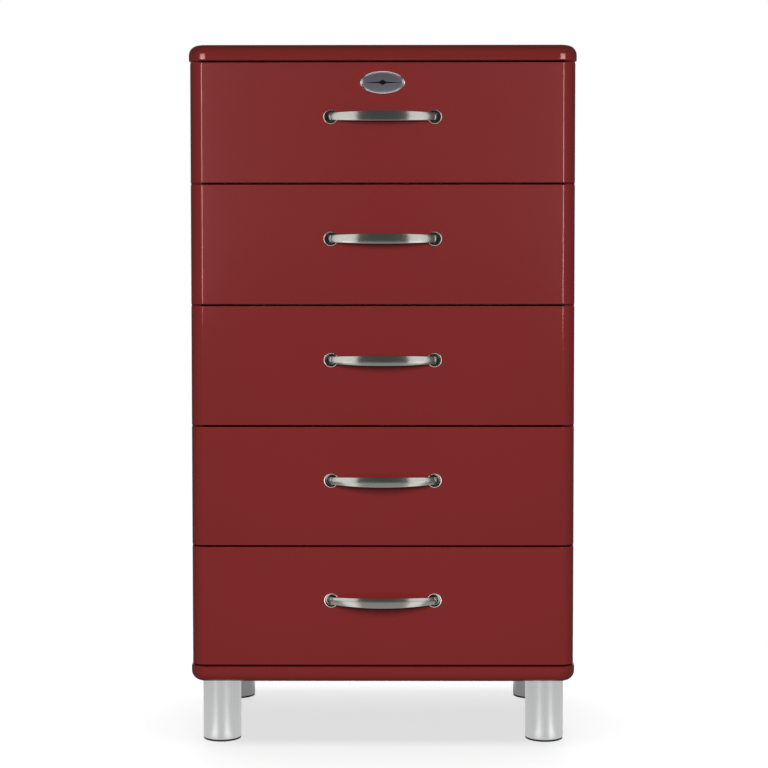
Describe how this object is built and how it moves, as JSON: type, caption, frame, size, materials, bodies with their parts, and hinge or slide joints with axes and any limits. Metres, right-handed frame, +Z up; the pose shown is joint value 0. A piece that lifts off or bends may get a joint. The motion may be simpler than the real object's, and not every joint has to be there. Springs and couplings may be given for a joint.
{
  "type": "chest of drawers",
  "caption": "Tall lacquered chest of drawers with rounded top and base panels, metal bow handles in dished cups, an oval front badge and round metal legs.",
  "frame": {"origin": "on the floor under the middle of the bounding box, handles included", "axes": "+Z up, -Y towards the person in front of the drawers, +X to that person's right"},
  "size_m": [0.6, 0.4354, 1.09],
  "materials": {
    "red_lacquer": "semi-gloss lacquer on MDF",
    "box_board": "foil-wrapped chipboard",
    "hardboard": "painted hardboard",
    "runner_steel": "zinc-plated",
    "brushed_nickel": "brushed",
    "chrome": "polished",
    "brushed_leg": "satin brushed",
    "black_plastic": "moulded",
    "zinc_plated": "zinc-plated"
  },
  "bodies": {
    "carcass": {"top_panel": "red_lacquer", "bottom_panel": "red_lacquer", "left_side_panel": "red_lacquer", "right_side_panel": "red_lacquer", "back_panel": "hardboard", "cam_locks": "zinc_plated", "leg_front_left": "brushed_leg", "leg_front_right": "brushed_leg", "leg_rear_left": "brushed_leg", "leg_rear_right": "brushed_leg", "leg_glides": "black_plastic", "leg_mounting_plates": "zinc_plated", "leg_plate_screws": "zinc_plated", "cabinet_runner_rails": "runner_steel"},
    "drawer_1": {"drawer_1_front": "red_lacquer", "drawer_1_sides": "box_board", "drawer_1_back": "box_board", "drawer_1_bottom": "hardboard", "drawer_1_handle": "brushed_nickel", "drawer_1_rosettes": "chrome", "drawer_1_handle_screws": "zinc_plated", "drawer_1_rails": "runner_steel", "badge": "chrome"},
    "ball_cages_1": {"drawer_1_ball_cages": "runner_steel"},
    "drawer_2": {"drawer_2_front": "red_lacquer", "drawer_2_sides": "box_board", "drawer_2_back": "box_board", "drawer_2_bottom": "hardboard", "drawer_2_handle": "brushed_nickel", "drawer_2_rosettes": "chrome", "drawer_2_handle_screws": "zinc_plated", "drawer_2_rails": "runner_steel"},
    "ball_cages_2": {"drawer_2_ball_cages": "runner_steel"},
    "drawer_3": {"drawer_3_front": "red_lacquer", "drawer_3_sides": "box_board", "drawer_3_back": "box_board", "drawer_3_bottom": "hardboard", "drawer_3_handle": "brushed_nickel", "drawer_3_rosettes": "chrome", "drawer_3_handle_screws": "zinc_plated", "drawer_3_rails": "runner_steel"},
    "ball_cages_3": {"drawer_3_ball_cages": "runner_steel"},
    "drawer_4": {"drawer_4_front": "red_lacquer", "drawer_4_sides": "box_board", "drawer_4_back": "box_board", "drawer_4_bottom": "hardboard", "drawer_4_handle": "brushed_nickel", "drawer_4_rosettes": "chrome", "drawer_4_handle_screws": "zinc_plated", "drawer_4_rails": "runner_steel"},
    "ball_cages_4": {"drawer_4_ball_cages": "runner_steel"},
    "drawer_5": {"drawer_5_front": "red_lacquer", "drawer_5_sides": "box_board", "drawer_5_back": "box_board", "drawer_5_bottom": "hardboard", "drawer_5_handle": "brushed_nickel", "drawer_5_rosettes": "chrome", "drawer_5_handle_screws": "zinc_plated", "drawer_5_rails": "runner_steel"},
    "ball_cages_5": {"drawer_5_ball_cages": "runner_steel"}
  },
  "joints": [
    {"name": "drawer_1_slide", "type": "slide", "parent": "carcass", "child": "drawer_1", "axis": [0, -1, 0], "range_m": [0, 0.262]},
    {"name": "ball_cages_1_slide", "type": "slide", "parent": "carcass", "child": "ball_cages_1", "axis": [0, -1, 0], "range_m": [0, 0.131]},
    {"name": "drawer_2_slide", "type": "slide", "parent": "carcass", "child": "drawer_2", "axis": [0, -1, 0], "range_m": [0, 0.262]},
    {"name": "ball_cages_2_slide", "type": "slide", "parent": "carcass", "child": "ball_cages_2", "axis": [0, -1, 0], "range_m": [0, 0.131]},
    {"name": "drawer_3_slide", "type": "slide", "parent": "carcass", "child": "drawer_3", "axis": [0, -1, 0], "range_m": [0, 0.262]},
    {"name": "ball_cages_3_slide", "type": "slide", "parent": "carcass", "child": "ball_cages_3", "axis": [0, -1, 0], "range_m": [0, 0.131]},
    {"name": "drawer_4_slide", "type": "slide", "parent": "carcass", "child": "drawer_4", "axis": [0, -1, 0], "range_m": [0, 0.262]},
    {"name": "ball_cages_4_slide", "type": "slide", "parent": "carcass", "child": "ball_cages_4", "axis": [0, -1, 0], "range_m": [0, 0.131]},
    {"name": "drawer_5_slide", "type": "slide", "parent": "carcass", "child": "drawer_5", "axis": [0, -1, 0], "range_m": [0, 0.262]},
    {"name": "ball_cages_5_slide", "type": "slide", "parent": "carcass", "child": "ball_cages_5", "axis": [0, -1, 0], "range_m": [0, 0.131]}
  ],
  "couplings": [
    {"joint": "ball_cages_1_slide", "follows": "drawer_1_slide", "ratio": 0.5},
    {"joint": "ball_cages_2_slide", "follows": "drawer_2_slide", "ratio": 0.5},
    {"joint": "ball_cages_3_slide", "follows": "drawer_3_slide", "ratio": 0.5},
    {"joint": "ball_cages_4_slide", "follows": "drawer_4_slide", "ratio": 0.5},
    {"joint": "ball_cages_5_slide", "follows": "drawer_5_slide", "ratio": 0.5}
  ]
}
